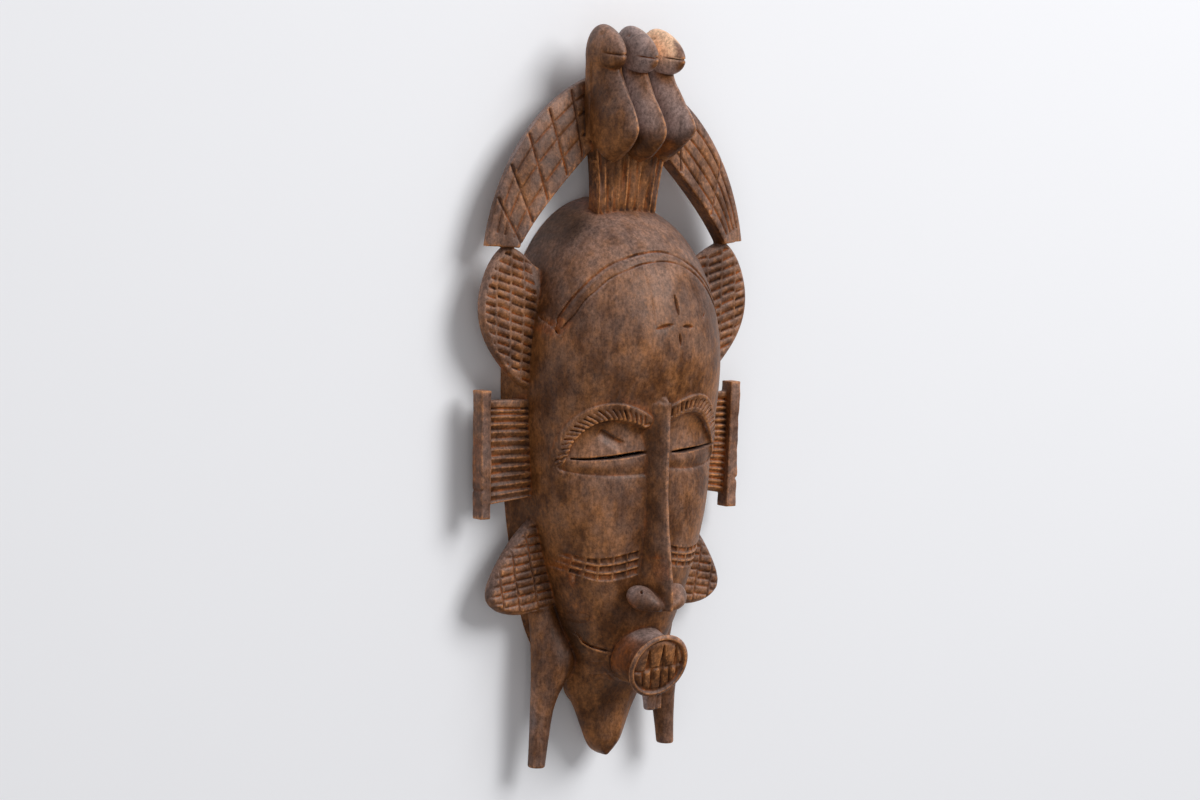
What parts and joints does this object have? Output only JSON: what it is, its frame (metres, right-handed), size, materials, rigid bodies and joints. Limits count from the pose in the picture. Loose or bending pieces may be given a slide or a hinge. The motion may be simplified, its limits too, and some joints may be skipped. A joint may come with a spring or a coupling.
{
  "type": "senufo mask",
  "caption": "Carved wooden face mask with a hollow back, hatched side ornaments, short legs and an arched crest of birds.",
  "frame": {"origin": "middle of the flat back, on the surface that the mask lies on", "axes": "+X to the right of someone facing the mask, +Y up the mask towards the birds, +Z out of the face"},
  "size_m": [0.1918, 0.4426, 0.088],
  "materials": {
    "carved_wood": "oiled brown wood with a dull patina, darker in the cuts and rubbed lighter on the edges"
  },
  "bodies": {
    "root": {"mask": "carved_wood"}
  },
  "joints": []
}
